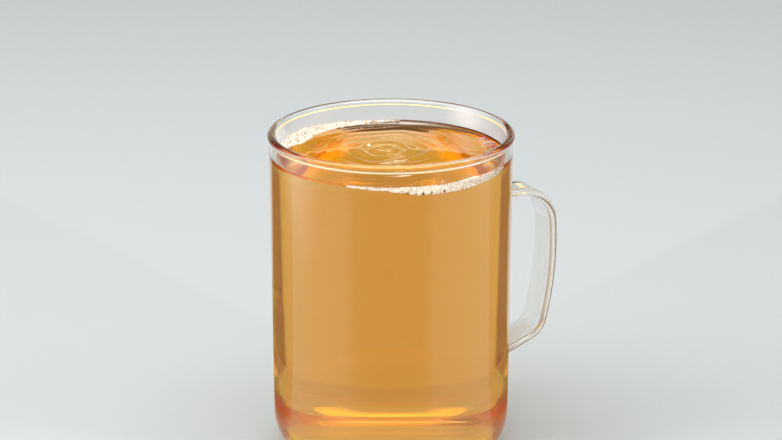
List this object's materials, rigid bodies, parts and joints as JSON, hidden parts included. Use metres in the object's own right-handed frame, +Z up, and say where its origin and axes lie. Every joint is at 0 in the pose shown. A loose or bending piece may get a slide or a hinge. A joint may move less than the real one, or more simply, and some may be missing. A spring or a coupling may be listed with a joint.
{
  "type": "glass cup of tea",
  "caption": "Clear straight-sided glass mug with a flat strap handle, filled with amber tea under patches of foam.",
  "frame": {"origin": "centre of the mug's flat base", "axes": "+Z up along the mug's axis, +X out along the handle"},
  "size_m": [0.105, 0.084, 0.115],
  "materials": {
    "glass": "clear polished glass",
    "tea": "clear amber liquid",
    "foam": "fine off-white bubbles"
  },
  "bodies": {
    "root": {"mug": "glass", "tea": "tea", "foam_back": "foam", "foam_front": "foam"}
  },
  "joints": []
}
